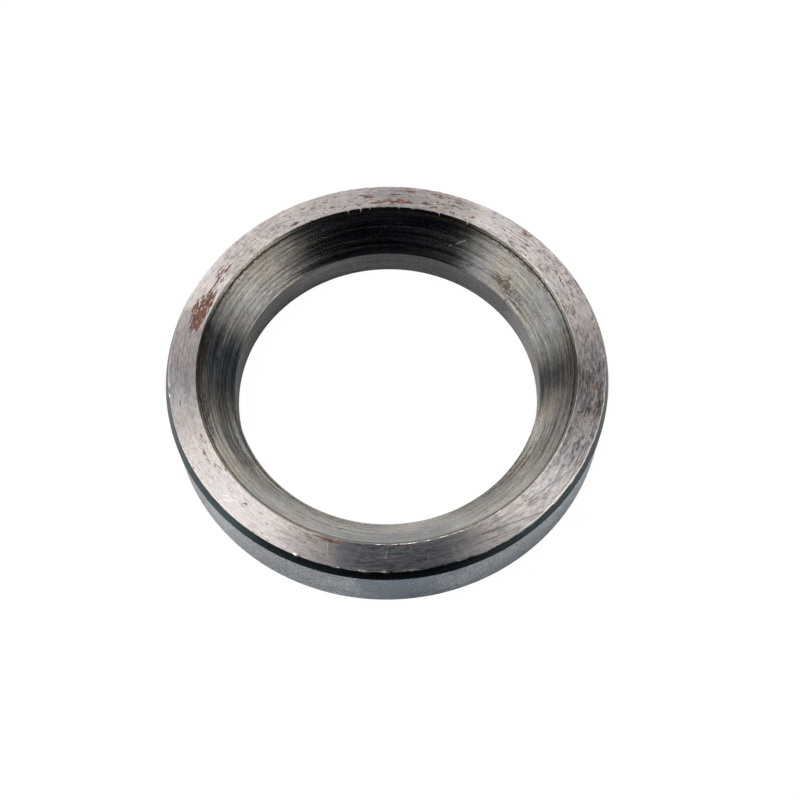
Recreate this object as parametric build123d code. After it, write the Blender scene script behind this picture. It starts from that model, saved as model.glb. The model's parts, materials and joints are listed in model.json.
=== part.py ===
from build123d import *
import os
from math import asin, cos, degrees, hypot, radians, sin

# Housing washer of a spherical roller thrust bearing: one solid ring of hardened steel.
# The ring lies on its back face at z = 0, with its axis on +Z and its raceway open upwards.
# All lengths are in millimetres.

# The ring's envelope
OUTER_RADIUS = 65.0
BORE_RADIUS = 45.6
HEIGHT = 21.5

# The back face has the same chamfer at the bore and at the outer wall.
BACK_CHAMFER = 1.5

# A steep lead-in chamfer joins the outer wall to the front face.
LEAD_IN_WIDTH = 1.35
LEAD_IN_HEIGHT = 2.7

# The front face is a flat annulus that ends at a narrow conical land above the raceway.
FACE_INNER_RADIUS = 55.8

# The raceway is a zone of one sphere, centred on the ring's axis above the front face.
SPHERE_RADIUS = 69.6
SPHERE_CENTRE_HEIGHT = 63.1
RACEWAY_OUTER_RADIUS = 54.9
RACEWAY_BORE_EDGE_ROUND = 0.4

# A turned relief groove runs between the conical land and the raceway.
GROOVE_WIDTH = 0.4
GROOVE_DEPTH = 0.2


def sphere_point(angle, offset=0.0):
    """Point of the section, at an angle in degrees from straight below the sphere's centre.

    A positive offset puts it that far outside the sphere, which is inside the steel.
    """
    reach = SPHERE_RADIUS + offset
    return (reach * sin(radians(angle)), SPHERE_CENTRE_HEIGHT - reach * cos(radians(angle)))


# Angles of the raceway's two ends and of the groove, seen from the sphere's centre
BORE_EDGE_ANGLE = degrees(asin(BORE_RADIUS / SPHERE_RADIUS))
GROOVE_START_ANGLE = degrees(asin(RACEWAY_OUTER_RADIUS / SPHERE_RADIUS))
GROOVE_ANGLE = degrees(GROOVE_WIDTH / SPHERE_RADIUS)
GROOVE_END_ANGLE = GROOVE_START_ANGLE + GROOVE_ANGLE
GROOVE_FLOOR_ANGLE = GROOVE_START_ANGLE + GROOVE_ANGLE / 2
RACEWAY_MIDDLE_ANGLE = (BORE_EDGE_ANGLE + GROOVE_START_ANGLE) / 2


def section():
    """Half section of the ring in the XZ plane, as one closed face."""
    bore_edge = sphere_point(BORE_EDGE_ANGLE)
    raceway_end = sphere_point(GROOVE_START_ANGLE)
    groove_floor = sphere_point(GROOVE_FLOOR_ANGLE, GROOVE_DEPTH)
    groove_end = sphere_point(GROOVE_END_ANGLE)

    raceway = ThreePointArc(bore_edge, sphere_point(RACEWAY_MIDDLE_ANGLE), raceway_end)
    groove = ThreePointArc(raceway_end, groove_floor, groove_end)
    turned_sides = Polyline(
        groove_end,
        (FACE_INNER_RADIUS, HEIGHT),
        (OUTER_RADIUS - LEAD_IN_WIDTH, HEIGHT),
        (OUTER_RADIUS, HEIGHT - LEAD_IN_HEIGHT),
        (OUTER_RADIUS, BACK_CHAMFER),
        (OUTER_RADIUS - BACK_CHAMFER, 0),
        (BORE_RADIUS + BACK_CHAMFER, 0),
        (BORE_RADIUS, BACK_CHAMFER),
        bore_edge,
    )
    outline = make_face([*raceway.edges(), *groove.edges(), *turned_sides.edges()])

    def distance_to_bore_edge(vertex):
        return hypot(vertex.X - bore_edge[0], vertex.Y - bore_edge[1])

    bore_corner = outline.vertices().sort_by(distance_to_bore_edge)[0]
    return Plane.XZ * fillet(bore_corner, RACEWAY_BORE_EDGE_ROUND)


def housing_washer():
    """The whole ring, turned about its axis."""
    ring = revolve(section(), Axis.Z)
    ring.label = "housing_washer"
    return ring


os.makedirs("parts", exist_ok=True)
export_step(housing_washer(), "parts/housing_washer.step")
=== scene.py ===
import json
from collections import namedtuple
from math import asin, cos, pi, radians, sin, tan

import bpy
import numpy as np
from mathutils import Matrix, Vector


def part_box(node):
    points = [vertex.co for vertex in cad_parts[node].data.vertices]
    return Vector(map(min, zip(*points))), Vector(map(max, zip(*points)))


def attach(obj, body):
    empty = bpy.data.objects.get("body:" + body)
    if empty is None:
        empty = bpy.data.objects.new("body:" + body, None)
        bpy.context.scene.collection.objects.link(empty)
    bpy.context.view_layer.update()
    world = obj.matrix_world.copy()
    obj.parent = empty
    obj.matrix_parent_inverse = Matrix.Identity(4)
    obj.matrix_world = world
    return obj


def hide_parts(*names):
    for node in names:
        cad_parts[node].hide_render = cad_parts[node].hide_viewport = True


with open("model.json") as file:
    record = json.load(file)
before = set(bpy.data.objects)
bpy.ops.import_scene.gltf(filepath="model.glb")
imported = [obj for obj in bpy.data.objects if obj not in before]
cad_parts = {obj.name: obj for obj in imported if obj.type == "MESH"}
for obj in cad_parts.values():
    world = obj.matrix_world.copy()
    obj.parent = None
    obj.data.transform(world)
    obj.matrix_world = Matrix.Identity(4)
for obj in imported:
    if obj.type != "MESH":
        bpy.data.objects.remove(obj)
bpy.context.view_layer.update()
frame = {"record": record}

MM = 0.001
RANDOM = np.random.default_rng(29)

# --- The ring's sizes, in millimetres: those of its section in the CAD ----------------------------

RING_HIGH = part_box("housing_washer")[1]
MOUNTS = {mount["name"]: mount for mount in frame["record"]["mounts"]}
OUTER = MOUNTS["outside_diameter"]["dims"]["r_mm"]
BORE = MOUNTS["bore"]["dims"]["r_mm"]
HEIGHT = RING_HIGH.z / MM
BACK_CHAMFER = 1.5
LEAD_IN_WIDTH = 1.35
LEAD_IN_HEIGHT = 2.7
FACE_OUTER = OUTER - LEAD_IN_WIDTH
FACE_INNER = 55.8
SPHERE = 69.6
SPHERE_CENTRE = 63.1
RACEWAY_OUTER = 54.9
GROOVE_WIDTH = 0.4
GROOVE_DEPTH = 0.2
MEAN_RADIUS = (OUTER + BORE) / 2

# --- The rounds of the ring's edges, which the CAD leaves sharp apart from the one at the bore ---

BACK_ROUND = 0.20
CHAMFER_ROUND = 0.15
SHOULDER_ROUND = 0.12
FACE_OUTER_ROUND = 0.12
FACE_INNER_ROUND = 0.15
RACEWAY_BORE_ROUND = 0.40

# --- How finely the ring is meshed ---------------------------------------------------------------

AROUND = 1050
ARC_STEPS = 3
RACEWAY_STEPS = 18
FACE_STEPS = 22


def sphere_point(angle, offset=0.0):
    """(radius, height) on the raceway's sphere, at an angle in radians from straight down."""
    reach = SPHERE + offset
    return (reach * sin(angle), SPHERE_CENTRE - reach * cos(angle))


def spaced(start, end, steps):
    """Evenly spaced points from start to end, without the end."""
    return [
        (start[0] + (end[0] - start[0]) * k / steps, start[1] + (end[1] - start[1]) * k / steps)
        for k in range(steps)
    ]


def corner_arc(before, corner, after, radius):
    """Points of the arc that rounds a corner between two straight runs."""
    a = Vector(before) - Vector(corner)
    b = Vector(after) - Vector(corner)
    half = a.angle(b) / 2
    a.normalize()
    b.normalize()
    reach = radius / tan(half)
    centre = Vector(corner) + (a + b).normalized() * (radius / sin(half))
    start = Vector(corner) + a * reach - centre
    end = Vector(corner) + b * reach - centre
    turn = start.angle_signed(end)
    return [
        tuple(centre + Matrix.Rotation(-turn * k / ARC_STEPS, 2) @ start)
        for k in range(ARC_STEPS + 1)
    ]


def ring_outline():
    """The closed section: (radius, height, zone of the face that follows), anticlockwise."""
    bore_edge = asin(BORE / SPHERE)
    raceway_end = asin(RACEWAY_OUTER / SPHERE)
    groove = GROOVE_WIDTH / SPHERE
    raceway = [
        (sphere_point(raceway_end + (bore_edge - raceway_end) * k / RACEWAY_STEPS), 0, 1, "raceway")
        for k in range(RACEWAY_STEPS)
    ]
    groove_section = [
        (sphere_point(raceway_end + groove * share, GROOVE_DEPTH * depth), 0, 1, "groove")
        for share, depth in ((1.0, 0.0), (0.75, 0.8), (0.5, 1.0), (0.25, 0.8))
    ]
    # Each corner: its point, its rounding, the steps to the next corner, and the zone on the way
    corners = [
        ((BORE + BACK_CHAMFER, 0), BACK_ROUND, 3, "back_face"),
        ((OUTER - BACK_CHAMFER, 0), BACK_ROUND, 1, "back_chamfer"),
        ((OUTER, BACK_CHAMFER), CHAMFER_ROUND, 5, "outer_wall"),
        ((OUTER, HEIGHT - LEAD_IN_HEIGHT), SHOULDER_ROUND, 4, "lead_in"),
        ((FACE_OUTER, HEIGHT), FACE_OUTER_ROUND, FACE_STEPS, "front_face"),
        ((FACE_INNER, HEIGHT), FACE_INNER_ROUND, 3, "lip"),
        *groove_section,
        *raceway,
        (sphere_point(bore_edge), RACEWAY_BORE_ROUND, 4, "bore_land"),
        ((BORE, BACK_CHAMFER), CHAMFER_ROUND, 1, "back_chamfer"),
    ]
    outline = []
    for k, (point, rounding, steps, zone) in enumerate(corners):
        before = corners[k - 1][0]
        after, next_rounding = corners[(k + 1) % len(corners)][:2]
        start = point
        end = after
        if rounding:
            arc = corner_arc(before, point, after, rounding)
            outline += [(r, z, zone) for r, z in arc[:-1]]
            start = arc[-1]
        if next_rounding:
            end = corner_arc(point, after, corners[(k + 2) % len(corners)][0], next_rounding)[0]
        outline += [(r, z, zone) for r, z in spaced(start, end, steps)]
    return outline


# --- Wear: nicks, rust and stains, and painted highlight and shade -------------------------------
# Azimuths are in degrees from +X, anticlockwise from above. Lengths are in millimetres.

# A rim is a circular edge: inwards is the way into the steel, as (outwards, up), and reach is how
# far from the edge a knock spreads.
Rim = namedtuple("Rim", "radius height inwards reach")
OUTER_RIM = Rim(FACE_OUTER, HEIGHT, (-0.55, -0.85), 0.36)
INNER_RIM = Rim(FACE_INNER, HEIGHT, (0.6, -0.8), 0.36)
SHOULDER = Rim(OUTER, HEIGHT - LEAD_IN_HEIGHT, (-1.0, -0.2), 0.40)
LOWER_RIM = Rim(OUTER, BACK_CHAMFER, (-0.9, 0.4), 0.50)

# (rim, number of nicks, shortest and longest half length, deepest)
NICKS = [
    (OUTER_RIM, 50, 0.3, 0.7, 0.05),
    (INNER_RIM, 30, 0.3, 0.6, 0.04),
    (SHOULDER, 16, 0.4, 0.9, 0.02),
    (LOWER_RIM, 24, 0.4, 1.2, 0.03),
]

# A nick or burr of this depth is bright metal, and a shallower one is duller.
BRIGHT_DEPTH = 0.05

# Burrs stand up from a rim: (rim, azimuth, half length, height)
BURRS = [
    (OUTER_RIM, 183.5, 1.1, 0.16),
    (OUTER_RIM, 186.5, 1.5, 0.12),
    (OUTER_RIM, 245.5, 1.0, 0.22),
    (OUTER_RIM, 263.0, 2.2, 0.15),
    (OUTER_RIM, 268.0, 1.2, 0.12),
    (OUTER_RIM, 256.5, 0.6, 0.10),
    (OUTER_RIM, 94.5, 0.8, 0.08),
    (INNER_RIM, 100.8, 0.60, 0.08),
    (INNER_RIM, 96.7, 0.60, 0.10),
    (INNER_RIM, 93.7, 0.50, 0.06),
    (INNER_RIM, 89.2, 0.50, 0.05),
    (INNER_RIM, 84.4, 0.50, 0.05),
    (INNER_RIM, 80.2, 0.50, 0.06),
    (INNER_RIM, 71.2, 0.70, 0.10),
    (INNER_RIM, 61.5, 0.50, 0.05),
]

# Stretches of rim rubbed to bright metal, and partly a painted highlight for the light line that
# the rounded rim reflects: (azimuth, radius, half length, half width, strength)
WORN_AND_PAINTED_HIGHLIGHT = [
    (178.0, FACE_OUTER, 9.0, 0.18, 1.90),
    (205.0, FACE_OUTER, 9.0, 0.24, 0.80),
    (262.0, FACE_OUTER, 14.0, 0.18, 1.40),
    (303.0, FACE_OUTER, 12.0, 0.18, 2.20),
    (337.0, FACE_OUTER, 20.0, 0.18, 2.20),
    (277.0, FACE_INNER, 24.0, 0.16, 1.05),
    (15.0, FACE_INNER, 16.0, 0.12, 0.80),
    (85.0, FACE_INNER, 16.0, 0.12, 0.60),
]

# Rust on the front face, as single flecks: (azimuth, radius, half length, half width, strength)
RUST = [
    (15.0, 58.1, 1.6, 0.5, 0.75),
    (18.0, 57.1, 1.0, 0.4, 0.60),
    (30.0, 60.3, 0.9, 0.4, 0.60),
    (34.5, 61.5, 0.8, 0.4, 0.50),
    (36.0, 58.8, 0.7, 0.4, 0.55),
    (38.5, 60.3, 0.9, 0.4, 0.60),
    (42.0, 59.5, 1.0, 0.4, 0.60),
    (43.5, 62.9, 0.7, 0.4, 0.65),
    (45.3, 62.4, 1.0, 0.5, 0.85),
    (46.5, 57.1, 0.9, 0.4, 0.70),
    (50.0, 60.3, 0.9, 0.4, 0.50),
    (57.5, 58.3, 0.8, 0.4, 0.45),
    (61.0, 62.1, 0.9, 0.4, 0.50),
    (67.0, 61.2, 1.2, 0.4, 0.60),
    (66.8, 57.6, 0.8, 0.4, 0.60),
    (72.5, 61.8, 1.4, 0.6, 0.80),
    (72.0, 58.5, 0.8, 0.4, 0.50),
    (76.5, 58.2, 1.8, 0.6, 0.85),
    (82.0, 61.9, 2.2, 0.5, 0.85),
    (85.5, 60.4, 1.8, 0.5, 0.80),
    (86.2, 58.5, 1.8, 0.4, 1.15),
    (82.8, 58.0, 1.8, 0.4, 1.15),
    (84.6, 57.4, 1.6, 0.3, 1.00),
    (90.5, 57.6, 2.0, 0.5, 0.90),
    (93.6, 60.0, 1.6, 0.6, 0.90),
    (98.5, 59.5, 0.8, 0.3, 0.45),
    (99.0, 62.3, 1.0, 0.3, 0.50),
    (105.5, 58.2, 1.5, 0.4, 0.65),
    (114.0, 61.2, 0.9, 0.4, 0.60),
    (118.5, 57.3, 2.2, 0.4, 0.80),
    (123.5, 60.0, 1.0, 0.3, 0.50),
    (123.0, 58.9, 0.9, 0.3, 0.50),
    (135.5, 60.3, 0.8, 0.3, 0.45),
    (143.0, 59.0, 1.6, 0.3, 0.65),
    (146.0, 60.4, 2.2, 0.4, 0.80),
    (147.0, 59.2, 2.2, 0.5, 0.95),
    (146.5, 57.9, 1.8, 0.5, 0.90),
    (152.5, 61.0, 1.4, 0.3, 0.50),
    (158.5, 60.8, 2.2, 0.4, 0.65),
    (161.0, 58.9, 5.0, 1.1, 1.75),
    (157.5, 57.6, 3.2, 0.8, 1.60),
    (189.5, 60.9, 1.6, 0.3, 0.55),
    (196.0, 60.0, 0.8, 0.3, 0.45),
    (201.3, 57.5, 0.6, 0.3, 0.80),
    (203.6, 57.2, 0.8, 0.4, 0.80),
    (206.5, 58.8, 1.4, 0.4, 0.65),
    (209.3, 58.9, 0.6, 0.3, 0.70),
    (211.6, 57.8, 0.6, 0.3, 0.75),
    (213.0, 57.1, 1.2, 0.3, 0.50),
    (226.5, 58.5, 0.6, 0.3, 0.70),
    (231.8, 58.0, 1.2, 0.3, 0.60),
    (225.0, 62.1, 1.8, 0.3, 0.50),
    (230.5, 61.6, 1.2, 0.3, 0.45),
    (250.0, 56.5, 2.2, 0.3, 0.80),
    (253.6, 56.8, 1.8, 0.3, 0.85),
    (259.7, 56.4, 1.0, 0.3, 0.90),
    (269.0, 56.1, 1.4, 0.3, 0.90),
    (273.6, 56.6, 1.0, 0.3, 0.80),
    (277.0, 56.3, 0.9, 0.3, 0.80),
    (335.0, 60.6, 1.0, 0.4, 0.50),
    (341.0, 59.8, 1.4, 0.4, 0.50),
    (349.5, 60.2, 2.0, 0.6, 0.75),
    (347.5, 58.1, 1.0, 0.3, 0.55),
]

# Dirt and stains on the raceway and in the groove and lip above it, in the same form. The narrow
# rows at radius 54.95 and 55.0 run along the groove and are partly dirt and partly painted shade.
STAINS_AND_PAINTED_SHADE = [
    (43.0, 48.9, 2.0, 0.5, 0.95),
    (37.0, 48.3, 2.6, 0.6, 1.00),
    (37.0, 48.4, 10.0, 1.4, 0.42),
    (39.9, 50.4, 0.6, 0.3, 1.20),
    (35.9, 46.2, 0.6, 0.3, 1.10),
    (55.7, 47.6, 0.7, 0.3, 1.10),
    (38.0, 54.95, 15.0, 0.36, 1.30),
    (140.0, 54.95, 17.0, 0.30, 1.15),
    (343.0, 54.95, 16.0, 0.20, 0.90),
    (300.0, 54.95, 12.0, 0.14, 0.60),
    (215.0, 55.00, 20.0, 0.22, 0.65),
    (191.0, 53.7, 3.5, 0.5, 0.80),
    (199.0, 54.2, 4.0, 0.4, 0.70),
    (252.0, 54.2, 3.0, 0.7, 0.45),
    (8.0, 47.5, 1.2, 0.4, 0.60),
    (352.5, 52.6, 1.6, 0.4, 0.80),
    (347.0, 51.4, 1.4, 0.3, 0.70),
    (75.0, 54.6, 7.0, 0.6, 0.60),
    (176.0, 55.2, 14.0, 0.8, 0.80),
]

# A slate-coloured patch on the front face, in the same form: partly a film of oxide and partly
# painted shade for the dark reflection at the front of the face
TARNISH_AND_PAINTED_SHADE = [(272.0, 59.5, 14.0, 9.0, 1.0)]

# Heights that bound the wear: rust and rubbed metal, with its painted rim highlight, above theirs,
# and stains, with the painted shade along the groove, below theirs
RUST_ABOVE = HEIGHT - 0.6
RUBBED_AND_HIGHLIGHT_ABOVE = HEIGHT - 0.2
STAINS_AND_SHADE_BELOW = HEIGHT - 0.3

# Where a zone's tone is raised, or lowered by a strength below 0: (azimuth, half angle, strength).
# This is partly uneven polish and partly painted highlight and painted shade, for the brighter and
# darker reflections around the ring.
POLISH_AND_PAINTED_LIGHT = {
    "front_face": [
        (4, 14, 0.20),
        (34, 24, -0.20),
        (55, 18, -0.10),
        (78, 34, 0.42),
        (168, 30, 0.60),
        (135, 20, -0.15),
        (200, 14, 0.12),
        (218, 22, -0.12),
        (284, 16, -0.24),
        (336, 24, -0.20),
    ],
    "lip": [(5, 60, 0.6), (135, 40, 0.65), (207, 20, 0.2), (247, 16, -0.38), (300, 22, -0.3)],
    "raceway": [
        (55, 24, 0.16),
        (90, 30, -0.2),
        (116, 12, 0.25),
        (201, 12, 0.80),
        (205, 22, 0.38),
        (247, 12, -0.14),
        (280, 18, 0.22),
        (292, 12, -0.16),
        (348, 20, 0.22),
    ],
    "outer_wall": [(200, 22, -0.45), (240, 18, -0.2), (272, 22, 0.3)],
    "lead_in": [(212, 26, 0.4), (228, 10, 0.45), (240, 14, -0.4), (312, 22, 0.25), (356, 16, -0.5)],
    "bore_land": [(22, 14, 0.5), (82, 34, -0.3)],
}

# Knocks that run from the inner rim down the lip: (azimuth, length)
LIP_KNOCKS = [(61.5, 0.3), (71.2, 0.6), (84.4, 0.3), (93.7, 0.3), (96.7, 0.5), (100.8, 0.4)]

# Single scratches: (azimuth, radius) of one end, then of the other, half width and strength
BRIGHT_SCRATCHES = {
    "lip": [
        (azimuth, FACE_INNER, azimuth, FACE_INNER - length, 0.18, 1.0)
        for azimuth, length in LIP_KNOCKS
    ],
    "front_face": [
        (244.9, 63.4, 245.9, 63.2, 0.40, 1.0),
        (252.0, 57.7, 253.0, 61.0, 0.10, 0.9),
        (268.6, 56.5, 267.9, 59.9, 0.09, 0.8),
        (279.4, 59.7, 278.4, 61.8, 0.05, 0.4),
        (182.6, 62.4, 183.0, 60.2, 0.08, 0.8),
        (221.5, 62.0, 223.5, 59.8, 0.10, 0.9),
        (220.2, 61.4, 221.4, 60.2, 0.10, 0.9),
        (301.6, 56.9, 312.0, 59.0, 0.16, 0.4),
        (305.0, 58.4, 316.0, 61.0, 0.14, 0.4),
        (314.0, 57.2, 324.0, 60.8, 0.12, 0.4),
    ],
    "raceway": [
        (60.2, 52.3, 65.3, 49.8, 0.09, 0.9),
        (61.7, 51.2, 63.3, 50.4, 0.06, 0.8),
        (53.7, 54.6, 53.1, 52.8, 0.06, 0.6),
        (88.7, 51.9, 90.8, 50.7, 0.06, 0.5),
        (168.0, 51.2, 171.0, 50.9, 0.06, 0.6),
        (184.0, 49.8, 189.0, 50.8, 0.05, 0.6),
    ],
}
DARK_SCRATCHES = {
    "front_face": [
        (294.5, 59.0, 311.0, 63.4, 0.34, 0.5),
        (291.5, 61.0, 304.0, 62.6, 0.26, 0.4),
        (299.0, 57.6, 326.0, 62.6, 0.22, 0.4),
        (286.6, 58.4, 301.0, 60.3, 0.20, 0.4),
        (318.0, 60.4, 329.0, 63.0, 0.16, 0.4),
    ],
    "raceway": [
        (292.2, 52.6, 305.0, 51.6, 0.13, 0.9),
        (304.3, 51.6, 324.0, 49.2, 0.10, 0.7),
        (308.5, 52.8, 316.0, 52.0, 0.08, 0.5),
        (238.5, 53.2, 241.0, 51.2, 0.07, 0.6),
    ],
}


def turned(angles, azimuth):
    """Angles in radians, measured from an azimuth in degrees, each the short way round."""
    return (angles - radians(azimuth) + pi) % (2 * pi) - pi


def dome(share):
    """1 at 0, falling smoothly to 0 at 1 and beyond."""
    return np.clip(1 - share**2, 0, 1) ** 2


def patches(angles, radius, table):
    """How strongly the patches of a table cover each point."""
    cover = np.zeros(radius.shape)
    for azimuth, at, half_length, half_width, strength in table:
        along = turned(angles, azimuth) * radius / half_length
        across = (radius - at) / half_width
        cover += strength * np.exp(-0.5 * (along**2 + across**2))
    return cover


def near_rim(radius, height, rim):
    """1 on a rim, falling to 0 at its reach."""
    return dome(np.hypot(radius - rim.radius, height - rim.height) / rim.reach)


def rim_marks():
    """Every nick and burr: (rim, azimuth, half length, depth), where a burr's depth is negative."""
    marks = []
    for rim, count, shortest, longest, deepest in NICKS:
        for _ in range(count):
            azimuth = RANDOM.uniform(0, 360)
            half_length = RANDOM.uniform(shortest, longest)
            marks.append((rim, azimuth, half_length, deepest * RANDOM.uniform(0.2, 1.0) ** 2))
    marks += [(rim, azimuth, half_length, -height) for rim, azimuth, half_length, height in BURRS]
    return marks


def ring_mesh():
    """The ring as a closed mesh: zones as material slots, wear, painted highlight and shade as
    attributes.
    """
    outline = ring_outline()
    section = np.array([(r, z) for r, z, _ in outline])
    count = len(section)
    angles = np.linspace(0, 2 * pi, AROUND, endpoint=False)[:, None]
    radius = np.tile(section[:, 0], (AROUND, 1))
    height = np.tile(section[:, 1], (AROUND, 1))

    rust = patches(angles, radius, RUST) * (height > RUST_ABOVE)
    # The stain also holds painted shade along the groove, the tarnish painted shade at the front of the
    # face, and the worn stretches a painted highlight along the rims.
    stain = patches(angles, radius, STAINS_AND_PAINTED_SHADE) * (height < STAINS_AND_SHADE_BELOW) * (radius < FACE_INNER)
    tarnish = patches(angles, radius, TARNISH_AND_PAINTED_SHADE)
    worn = patches(angles, radius, WORN_AND_PAINTED_HIGHLIGHT) * (height > RUBBED_AND_HIGHLIGHT_ABOVE)
    bruise = np.zeros(radius.shape)
    for rim, azimuth, half_length, depth in rim_marks():
        mark = dome(turned(angles, azimuth) * rim.radius / half_length)
        mark = mark * near_rim(section[:, 0], section[:, 1], rim)
        radius += rim.inwards[0] * depth * mark
        height += rim.inwards[1] * depth * mark
        bruise = np.maximum(bruise, mark * min(1.0, abs(depth) / BRIGHT_DEPTH))

    points = np.stack([radius * np.cos(angles), radius * np.sin(angles), height], -1) * MM
    here = np.arange(AROUND)[:, None] * count + np.arange(count)[None]
    there = np.roll(here, -1, axis=0)
    quads = np.stack([here, there, np.roll(there, -1, axis=1), np.roll(here, -1, axis=1)], -1)

    mesh = bpy.data.meshes.new("ring")
    mesh.from_pydata(points.reshape(-1, 3).tolist(), [], quads.reshape(-1, 4).tolist())
    mesh.shade_smooth()
    wear_and_painted_light = {"rust": rust, "stain": stain, "tarnish": tarnish, "worn": worn, "bruise": bruise}
    for name, values in wear_and_painted_light.items():
        attribute = mesh.attributes.new(name, "FLOAT", "POINT")
        attribute.data.foreach_set("value", values.ravel().astype(np.float32))

    zones = [zone for _, _, zone in outline]
    names = list(dict.fromkeys(zones))
    groove_sides = [k for k in range(count) if (zones[k] == "groove") != (zones[k - 1] == "groove")]
    ends = np.zeros((len(mesh.edges), 2), np.int32)
    mesh.edges.foreach_get("vertices", ends.ravel())
    rings = ends % count
    crease = (rings[:, 0] == rings[:, 1]) & np.isin(rings[:, 0], groove_sides)
    mesh.attributes.new("sharp_edge", "BOOLEAN", "EDGE").data.foreach_set("value", crease)

    mesh.polygons.foreach_set("material_index", np.tile([names.index(z) for z in zones], AROUND))
    return mesh, names


# --- Materials -----------------------------------------------------------------------------------


def rgb(red, green, blue):
    """An opaque colour, from linear values."""
    return (red, green, blue, 1.0)


class Graph:
    """Short calls that add nodes to one node tree."""

    def __init__(self, tree):
        self.tree = tree

    def add(self, kind, inputs=None, **settings):
        node = self.tree.nodes.new("ShaderNode" + kind)
        for name, value in settings.items():
            setattr(node, name, value)
        for key, value in (inputs or {}).items():
            self.feed(value, node.inputs[key])
        return node

    def feed(self, value, socket):
        """Link a socket to another, or set its value."""
        if isinstance(value, bpy.types.NodeSocket):
            self.tree.links.new(value, socket)
        else:
            socket.default_value = value

    def math(self, operation, a, b=0.0, c=0.0):
        return self.add("Math", {0: a, 1: b, 2: c}, operation=operation).outputs[0]

    def total(self, *values):
        """The sum of its values."""
        result = values[0]
        for value in values[1:]:
            result = self.math("ADD", result, value)
        return result

    def vector(self, operation, a, b=(0, 0, 0), c=(0, 0, 0)):
        """The node of a vector operation, whose result is a vector or a number."""
        return self.add("VectorMath", {0: a, 1: b, 2: c}, operation=operation)

    def scaled(self, vector, factor):
        """A vector times a number."""
        return self.add("VectorMath", {0: vector, "Scale": factor}, operation="SCALE").outputs[0]

    def rise(self, value, low, high, start=0.0, end=1.0):
        """start below low, end above high, and a smooth step between."""
        return self.add(
            "MapRange",
            {"Value": value, "From Min": low, "From Max": high, "To Min": start, "To Max": end},
            interpolation_type="SMOOTHSTEP",
        ).outputs[0]

    def mix(self, share, a, b, blend="MIX"):
        node = self.add("Mix", data_type="RGBA", blend_type=blend)
        self.feed(share, node.inputs[0])
        self.feed(a, node.inputs[6])
        self.feed(b, node.inputs[7])
        return node.outputs[2]

    def number(self, name):
        """A number that the mesh keeps for each vertex."""
        return self.add("Attribute", attribute_name=name, attribute_type="GEOMETRY").outputs["Fac"]

    def noise(self, place, scale, detail, offset):
        """Noise from 0 to 1, with 0.5 as its middle. scale has one factor for each axis."""
        moved = self.vector("MULTIPLY_ADD", place, scale, offset).outputs[0]
        return self.add(
            "TexNoise", {"Vector": moved, "Scale": 1.0, "Detail": detail, "Roughness": 0.6}
        ).outputs["Fac"]

    def signed(self, noise, reach):
        """Noise from 0 to 1 as -1 to 1, with both ends reached that far from its middle."""
        return self.rise(noise, 0.5 - reach, 0.5 + reach, -1.0, 1.0)

    def segment(self, flat, start, end, half_width):
        """1 on the straight line from start to end, seen from above, and 0 beside it."""
        run = end - start
        away = self.vector("SUBTRACT", flat, start).outputs[0]
        share = self.vector("DOT_PRODUCT", away, run / run.length_squared).outputs["Value"]
        share = self.add("Clamp", {"Value": share}).outputs[0]
        foot = self.scaled(tuple(run), share)
        gap = self.vector("DISTANCE", away, foot).outputs["Value"]
        return self.rise(gap, 0.4 * half_width, half_width, 1.0, 0.0)


# How each zone is finished. stretch is how far the highlights are drawn out, and lean is the way
# across the turning marks, as (outwards, up). grain, lines, mottle, speckle and tint are how much each
# of them changes the colour, relief is the height of the marks, and rust_specks is how strong the
# loose specks of rust are.
Finish = namedtuple(
    "Finish", "colour roughness stretch lean grain lines mottle speckle tint relief rust_specks"
)
# A zone's colour is partly its own tone and partly painted light and shade: the colours were set to the
# tones the zones show under this studio's light. The near-black lead-in is painted shade for the dark
# front that it reflects, and the near-black groove is painted shade in the groove.
FINISHES = {
    "back_face": Finish((0.42, 0.41, 0.41), 0.38, 0.6, (1, 0), 0.5, 0.5, 0.4, 0.3, 0.3, 0.004, 0.3),
    "back_chamfer": Finish((0.22, 0.23, 0.24), 0.42, 0.4, (1, 0), 0.3, 0.6, 0.4, 0.3, 0.3, 0.004, 0.2),
    "outer_wall": Finish((0.385, 0.42, 0.47), 0.40, 0.4, (0, 1), 0.2, 0.3, 0.3, 1.1, 0.2, 0.004, 0.0),
    "lead_in": Finish((0.026, 0.040, 0.047), 0.3, 0.3, (-0.45, 0.9), 0.3, 0.8, 0.6, 0.5, 0, 0.004, 0.0),
    "front_face": Finish((0.39, 0.365, 0.37), 0.42, 0.93, (1, 0), 1.2, 0.4, 0.7, 0.2, 0.3, 0.003, 1.0),
    "lip": Finish((0.215, 0.208, 0.190), 0.22, 0.3, (0.6, 0.8), 0.6, 0.5, 0.8, 0.6, 0.6, 0.004, 0.0),
    "groove": Finish((0.035, 0.022, 0.015), 0.65, 0.0, (0.7, 0.7), 0.3, 0.3, 0.8, 0.5, 0.5, 0.004, 0.0),
    "raceway": Finish((0.325, 0.315, 0.30), 0.20, 0.30, (0.7, 0.7), 1.0, 1.2, 0.6, 0.30, 0.6, 0.004, 0.0),
    "bore_land": Finish((0.18, 0.176, 0.18), 0.45, 0.5, (0, 1), 0.4, 0.6, 0.6, 0.4, 0.5, 0.004, 0.0),
}

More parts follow.
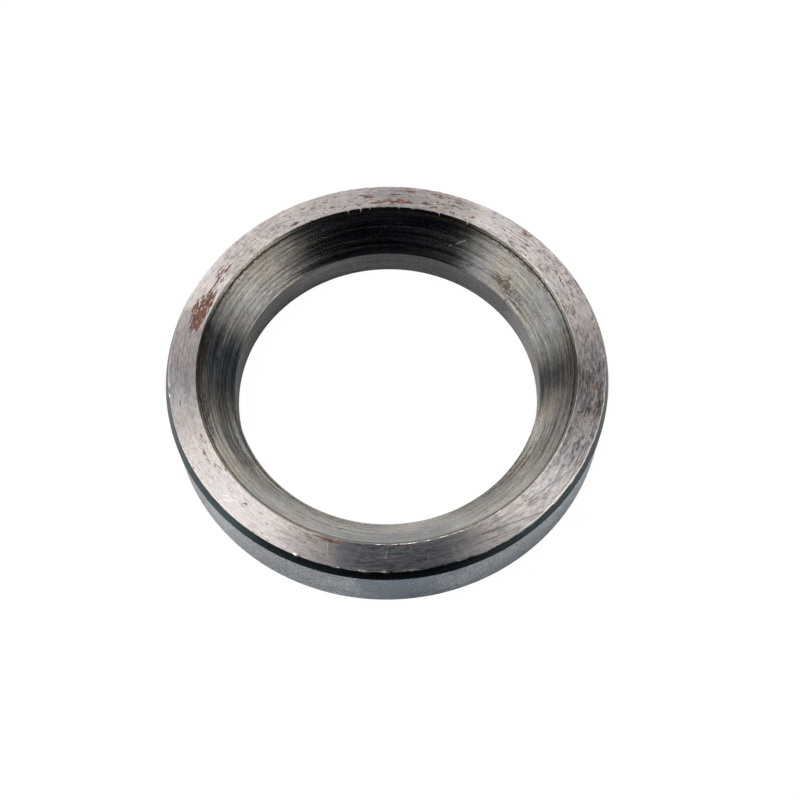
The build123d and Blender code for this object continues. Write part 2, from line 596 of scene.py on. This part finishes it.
RUST_DARK = rgb(0.025, 0.010, 0.006)
RUST_LIGHT = rgb(0.16, 0.054, 0.023)
STAIN_AND_SHADE_COLOUR = rgb(0.060, 0.040, 0.018)
PIT_COLOUR = rgb(0.035, 0.032, 0.030)
BARE_STEEL_AND_HIGHLIGHT = rgb(0.75, 0.73, 0.72)
SCRATCH_DARK = rgb(0.06, 0.055, 0.05)
TARNISH_AND_SHADE_TINT = rgb(0.40, 0.45, 0.50)
WARM_TINT = rgb(1.05, 1.00, 0.92)
COOL_TINT = rgb(0.93, 1.00, 1.08)
RUST_SPECULAR = 0.2

# Loose rust specks are thickest around this azimuth.
RUSTY_AZIMUTH = 50

# Noise drawn out along the marks: features for each millimetre along and across them, detail, offset
GRAIN = (0.42, 2.0, 3.0, 3.0)
LINES = (0.022, 1.3, 5.0, 7.0)
RIDGES = (0.022, 1.3, 2.0, 7.0)
HAIRLINES = (0.05, 2.2, 1.0, 13.0)
PITS = (0.8, 1.3, 2.0, 23.0)
SCRAPES = (0.16, 1.9, 2.0, 31.0)
STAIN_AND_SHADE_BREAKS = (0.80, 2.2, 4.0, 41.0)
FLECK_BREAKS = (0.40, 2.4, 4.0, 53.0)
LOOSE_SPECKS = (0.5, 1.9, 2.0, 67.0)
RUST_TONES = (0.7, 2.6, 3.0, 71.0)
RUBBING = (0.35, 0.8, 3.0, 83.0)

# Noise that is the same in every direction: features for each millimetre, detail, offset
MOTTLE = (0.12, 3.0, 11.0)
SPECKLE = (1.8, 2.0, 17.0)
SPECK_CLOUDS = (0.035, 1.0, 61.0)
TINTS = (0.09, 2.0, 97.0)

# How far each mark moves the tone of a zone whose factor for it is 1
GRAIN_TONE = 0.15
LINES_TONE = 0.20
DARK_HAIR_TONE = -0.35
BRIGHT_HAIR_TONE = 0.30
MOTTLE_TONE = 0.12
SPECKLE_TONE = 0.38

# How far each mark moves the roughness. Grain and mottle count for less on a fine finish, and knocks
# and scratches for less on a brushed one.
GRAIN_ROUGHNESS = 0.28
MOTTLE_ROUGHNESS = 0.23
RIDGE_ROUGHNESS = 0.03
RUST_ROUGHNESS = 0.35
BLEMISH_ROUGHNESS = 0.05
KNOCK_ROUGHNESS = 0.35

# How high each mark stands, as a share of the ridges' height
GRAIN_RELIEF = 0.15
BLEMISH_RELIEF = -0.3
RUST_RELIEF = 1.5


def towards(azimuth):
    """The level unit vector from the axis towards an azimuth in degrees."""
    return Vector((cos(radians(azimuth)), sin(radians(azimuth)), 0))


def steel(name, finish):
    """Worn steel, with its turning marks along the ring's circumference."""
    material = bpy.data.materials.new(name)
    material.use_nodes = True
    shader = material.node_tree.nodes["Principled BSDF"]
    graph = Graph(material.node_tree)

    # The unit vector from the axis to the point, and how far the point is across the marks
    lean_out, lean_up = finish.lean
    place = graph.add("TexCoord").outputs["Object"]
    flat = graph.vector("MULTIPLY", place, (1, 1, 0)).outputs[0]
    outwards = graph.vector("NORMALIZE", flat).outputs[0]
    radius = graph.vector("LENGTH", flat).outputs["Value"]
    height = graph.add("SeparateXYZ", {0: place}).outputs["Z"]
    across = graph.math(
        "MULTIPLY_ADD", radius, lean_out / MM, graph.math("MULTIPLY", height, lean_up / MM)
    )
    lifted = graph.add("CombineXYZ", {"Z": across}).outputs[0]
    marks = graph.vector("ADD", outwards, lifted).outputs[0]
    tangent = graph.vector(
        "MULTIPLY_ADD", outwards, (lean_out, lean_out, 0), (0, 0, lean_up)
    ).outputs[0]

    def streaks(along, over, detail, offset):
        """Noise drawn out along the marks."""
        around = along * MEAN_RADIUS
        return graph.noise(marks, (around, around, over), detail, (offset, offset, offset))

    def spots(density, detail, offset):
        """Noise that is the same in every direction."""
        return graph.noise(place, (density / MM,) * 3, detail, (offset, offset, offset))

    # The steel's tone
    grain = graph.signed(streaks(*GRAIN), 0.12)
    lines = graph.signed(streaks(*LINES), 0.14)
    ridges = graph.signed(streaks(*RIDGES), 0.14)
    hair = streaks(*HAIRLINES)
    dark_hair = graph.rise(hair, 0.60, 0.72)
    bright_hair = graph.rise(hair, 0.28, 0.40, 1.0, 0.0)
    mottle = graph.signed(spots(*MOTTLE), 0.14)
    speckle = graph.signed(spots(*SPECKLE), 0.14)
    tone = graph.total(
        graph.math("MULTIPLY", grain, GRAIN_TONE * finish.grain),
        graph.math("MULTIPLY", lines, LINES_TONE * finish.lines),
        graph.math("MULTIPLY", dark_hair, DARK_HAIR_TONE * finish.lines),
        graph.math("MULTIPLY", bright_hair, BRIGHT_HAIR_TONE * finish.lines),
        graph.math("MULTIPLY", mottle, MOTTLE_TONE * finish.mottle),
        graph.math("MULTIPLY", speckle, SPECKLE_TONE * finish.speckle),
        1.0,
    )
    # Tone raised and lowered around the ring: partly uneven polish, partly painted highlight and shade
    for azimuth, half_angle, strength in POLISH_AND_PAINTED_LIGHT.get(name, ()):
        facing = graph.vector("DOT_PRODUCT", outwards, towards(azimuth)).outputs["Value"]
        shade = graph.rise(facing, cos(radians(half_angle)), 1.0, 0.0, strength)
        tone = graph.math("ADD", tone, shade)
    tint = graph.mix(graph.rise(spots(*TINTS), 0.38, 0.62), COOL_TINT, WARM_TINT)
    colour = graph.mix(finish.tint, graph.scaled(finish.colour, tone), tint, "MULTIPLY")

    # Small pits, and long dark scrapes along the marks
    pits = graph.rise(streaks(*PITS), 0.68, 0.73)
    scrapes = graph.rise(streaks(*SCRAPES), 0.70, 0.78, 0.0, 0.7)
    blemish = graph.math("MAXIMUM", pits, scrapes)
    colour = graph.mix(graph.math("MULTIPLY", blemish, 0.85), colour, PIT_COLOUR)

    # The slate patch, partly a film of oxide and partly painted shade, with an uneven edge
    tarnish_and_shade_edge = graph.math("MULTIPLY_ADD", mottle, 0.12, graph.math("MULTIPLY", grain, 0.10))
    tarnish_and_shade_share = graph.rise(graph.math("ADD", graph.number("tarnish"), tarnish_and_shade_edge), 0.2, 0.75)
    colour = graph.mix(tarnish_and_shade_share, colour, graph.mix(1.0, colour, TARNISH_AND_SHADE_TINT, "MULTIPLY"))

    # Stains, and the painted shade along the groove, broken up along the marks
    broken = graph.math("MULTIPLY_ADD", streaks(*STAIN_AND_SHADE_BREAKS), 7.0, -2.6)
    stain = graph.rise(graph.math("MULTIPLY", graph.number("stain"), broken), 0.25, 1.0, 0.0, 0.75)
    colour = graph.mix(stain, colour, STAIN_AND_SHADE_COLOUR)

    # Rust: the flecks that the mesh keeps, and loose specks
    flecks = graph.math("MULTIPLY_ADD", streaks(*FLECK_BREAKS), 6.0, -2.0)
    patch = graph.rise(graph.math("MULTIPLY", graph.number("rust"), flecks), 0.35, 0.80)
    rusty_side = graph.vector("DOT_PRODUCT", outwards, towards(RUSTY_AZIMUTH)).outputs["Value"]
    loose = graph.total(
        streaks(*LOOSE_SPECKS),
        graph.math("MULTIPLY", spots(*SPECK_CLOUDS), 0.25),
        graph.rise(rusty_side, 0.2, 0.9, 0.0, 0.07),
    )
    specks = graph.rise(loose, 0.80, 0.85, 0.0, finish.rust_specks)
    rust = graph.math("MAXIMUM", patch, specks)
    rust_tone = graph.rise(streaks(*RUST_TONES), 0.38, 0.58)
    rust_colour = graph.mix(rust_tone, RUST_DARK, RUST_LIGHT)
    colour = graph.mix(graph.math("MULTIPLY", rust, 0.95), colour, rust_colour)

    # Single scratches, fainter where the grain is dark
    scratched = 0.0
    for scratches, mark in ((BRIGHT_SCRATCHES, BARE_STEEL_AND_HIGHLIGHT), (DARK_SCRATCHES, SCRATCH_DARK)):
        for azimuth_a, radius_a, azimuth_b, radius_b, half_width, strength in scratches.get(name, ()):
            start = towards(azimuth_a) * radius_a * MM
            end = towards(azimuth_b) * radius_b * MM
            line = graph.segment(flat, start, end, half_width * MM)
            patchy = graph.rise(grain, -1.0, 0.2, 0.3 * strength, strength)
            scratch = graph.math("MULTIPLY", line, patchy)
            scratched = graph.math("MAXIMUM", scratched, scratch)
            colour = graph.mix(scratch, colour, mark)

    # Bare bright steel where the rims have been knocked and rubbed. The rubbed stretches are partly a
    # painted highlight for the light line that the rounded rim reflects.
    rubbed_and_highlight = graph.math("MULTIPLY_ADD", streaks(*RUBBING), 3.4, -2.15)
    rubbed_and_highlight = graph.math("ADD", graph.number("worn"), rubbed_and_highlight)
    knocked_and_highlight = graph.math("MAXIMUM", rubbed_and_highlight, graph.number("bruise"))
    bare_and_highlight = graph.rise(knocked_and_highlight, 0.45, 0.85, 0.0, 0.85)
    colour = graph.mix(bare_and_highlight, colour, BARE_STEEL_AND_HIGHLIGHT)

    unevenness = finish.roughness**2
    plainness = 1 - finish.stretch
    roughness = graph.total(
        graph.math("MULTIPLY", grain, GRAIN_ROUGHNESS * finish.grain * unevenness),
        graph.math("MULTIPLY", mottle, MOTTLE_ROUGHNESS * finish.mottle * unevenness),
        graph.math("MULTIPLY", ridges, RIDGE_ROUGHNESS * finish.lines),
        graph.math("MULTIPLY", rust, RUST_ROUGHNESS),
        graph.math("MULTIPLY", blemish, BLEMISH_ROUGHNESS),
        graph.math("MULTIPLY", graph.math("MAXIMUM", bare_and_highlight, scratched), KNOCK_ROUGHNESS * plainness),
        finish.roughness,
    )
    relief = graph.total(
        ridges,
        graph.math("MULTIPLY", grain, GRAIN_RELIEF),
        graph.math("MULTIPLY", blemish, BLEMISH_RELIEF),
        graph.math("MULTIPLY", rust, RUST_RELIEF),
    )
    bump = graph.add("Bump", {"Height": relief, "Distance": finish.relief * MM})

    graph.feed(colour, shader.inputs["Base Color"])
    graph.feed(graph.math("MULTIPLY_ADD", rust, -0.95, 1.0), shader.inputs["Metallic"])
    graph.feed(roughness, shader.inputs["Roughness"])
    graph.feed(bump.outputs[0], shader.inputs["Normal"])
    graph.feed(tangent, shader.inputs["Tangent"])
    shader.inputs["Anisotropic"].default_value = finish.stretch
    shader.inputs["Specular IOR Level"].default_value = RUST_SPECULAR
    return material


def add_ring():
    """The ring, which replaces the CAD's plain solid."""
    mesh, names = ring_mesh()
    for name in names:
        mesh.materials.append(steel(name, FINISHES[name]))
    ring = bpy.data.objects.new("ring", mesh)
    bpy.context.scene.collection.objects.link(ring)
    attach(ring, "root")
    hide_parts("housing_washer")


# --- Studio --------------------------------------------------------------------------------------

# Places are in metres, and the lens and the sensor in millimetres.
CAMERA_PLACE = Vector((0.0, -0.17374, 0.34384))
CAMERA_TARGET = Vector((0.00356, -0.00643, 0.01075))
CAMERA_ROLL = radians(0.851)
CAMERA_LENS = 56.3
CAMERA_SENSOR = 36


def add_camera():
    """The camera, above the ring and in front of it."""
    data = bpy.data.cameras.new("camera")
    data.lens = CAMERA_LENS
    data.sensor_width = CAMERA_SENSOR
    camera = bpy.data.objects.new("camera", data)
    facing = (CAMERA_TARGET - CAMERA_PLACE).to_track_quat("-Z", "Y").to_matrix()
    camera.matrix_world = (
        Matrix.Translation(CAMERA_PLACE)
        @ facing.to_4x4()
        @ Matrix.Rotation(-CAMERA_ROLL, 4, "Z")
    )
    bpy.context.scene.collection.objects.link(camera)
    bpy.context.scene.camera = camera


# The floor, in metres. Reflections show it bright behind the first line across it and dark in front
# of the second, with albedos to match. The dark front is painted shade, for the shaded front of the
# studio.
FLOOR_REACH = 4.0
FLOOR_BRIGHT_FROM = -0.075
FLOOR_DARK_FROM = -0.115
FLOOR_BRIGHT_ALBEDO = 0.85
FLOOR_DARK_ALBEDO = 0.012

# To the camera it glows, with only a trace of shadow.
FLOOR_GLOW = 0.985
FLOOR_SHADOWED = rgb(0.03, 0.03, 0.03)
BLACK = rgb(0, 0, 0)
WHITE = rgb(1, 1, 1)


def add_floor():
    """A plain white floor. It is a light table to the camera, and a dimmer sheet in reflections."""
    mesh = bpy.data.meshes.new("floor")
    corners = [(-1, -1), (1, -1), (1, 1), (-1, 1)]
    mesh.from_pydata([(x * FLOOR_REACH, y * FLOOR_REACH, 0) for x, y in corners], [], [(0, 1, 2, 3)])
    material = bpy.data.materials.new("floor")
    material.use_nodes = True
    material.node_tree.nodes.clear()
    graph = Graph(material.node_tree)
    place = graph.add("SeparateXYZ", {0: graph.add("TexCoord").outputs["Object"]})
    albedo = graph.rise(
        place.outputs["Y"], FLOOR_DARK_FROM, FLOOR_BRIGHT_FROM, FLOOR_DARK_ALBEDO, FLOOR_BRIGHT_ALBEDO
    )
    reflected = graph.add("BsdfDiffuse", {"Color": graph.mix(albedo, BLACK, WHITE)})
    shadowed = graph.add("BsdfDiffuse", {"Color": FLOOR_SHADOWED})
    glow = graph.add("Emission", {"Color": WHITE, "Strength": FLOOR_GLOW})
    seen = graph.add("AddShader", {0: shadowed.outputs[0], 1: glow.outputs[0]})
    camera_ray = graph.add("LightPath").outputs["Is Camera Ray"]
    surface = graph.add("MixShader", {0: camera_ray, 1: reflected.outputs[0], 2: seen.outputs[0]})
    graph.add("OutputMaterial", {"Surface": surface.outputs[0]})
    mesh.materials.append(material)
    floor = bpy.data.objects.new("floor", mesh)
    bpy.context.scene.collection.objects.link(floor)


# The soft cards of the light tent. Azimuth, half width, and lowest and highest elevation are in
# degrees. The cards are rounded from a least-squares fit of the light to the tone of each zone of
# steel, apart from the strength of right_foot. The two shades are almost dark.
Card = namedtuple("Card", "azimuth half_width low high strength colour")
WARM = (1.03, 1.00, 0.95)
COOL = (0.80, 1.00, 1.20)
CARDS = {
    "left": Card(160, 6, 41, 69, 6.3, WARM),
    "top_left": Card(164, 37, 62, 68, 21.8, WARM),
    "back_left": Card(113, 11, 19, 36, 25.0, WARM),
    "back": Card(81, 21, -10, 21, 7.0, WARM),
    "back_right": Card(61, 12, 15, 23, 10.6, WARM),
    "right": Card(348, 6, 39, 55, 14.9, WARM),
    "left_foot": Card(189, 29, -10, 38, 1.0, WARM),
    "right_foot": Card(341, 18, -10, 30, 1.20, WARM),
    "right_shade": Card(25, 35, -10, 45, 0.06, COOL),
    "left_shade": Card(155, 35, -10, 45, 0.06, COOL),
}
CARD_SIDE_BLUR = 0.10
CARD_END_BLUR = 0.07
TENT_DARK = (0.0015, 0.0045, 0.009)


def add_world():
    """A dark tent with soft cards. The camera sees it plain white."""
    world = bpy.data.worlds.new("studio")
    world.use_nodes = True
    world.node_tree.nodes.clear()
    graph = Graph(world.node_tree)
    way = graph.add("TexCoord").outputs["Generated"]
    up = graph.add("SeparateXYZ", {0: way}).outputs["Z"]
    flat = graph.vector("MULTIPLY", way, (1, 1, 0)).outputs[0]
    level = graph.vector("NORMALIZE", flat).outputs[0]
    light = TENT_DARK
    for card in CARDS.values():
        facing = graph.vector("DOT_PRODUCT", level, towards(card.azimuth)).outputs["Value"]
        edge = cos(radians(card.half_width))
        low = sin(radians(card.low))
        high = sin(radians(card.high))
        side = graph.rise(facing, edge - CARD_SIDE_BLUR, edge + CARD_SIDE_BLUR)
        foot = graph.rise(up, low - CARD_END_BLUR, low + CARD_END_BLUR)
        top = graph.rise(up, high - CARD_END_BLUR, high + CARD_END_BLUR, card.strength, 0.0)
        glow = graph.math("MULTIPLY", side, graph.math("MULTIPLY", foot, top))
        light = graph.vector("ADD", light, graph.scaled(card.colour, glow)).outputs[0]
    camera_ray = graph.add("LightPath").outputs["Is Camera Ray"]
    seen = graph.mix(camera_ray, light, WHITE)
    background = graph.add("Background", {"Color": seen})
    graph.add("OutputWorld", {"Surface": background.outputs[0]})
    bpy.context.scene.world = world
    bpy.context.scene.view_settings.view_transform = "Standard"


add_ring()
add_camera()
add_floor()
add_world()
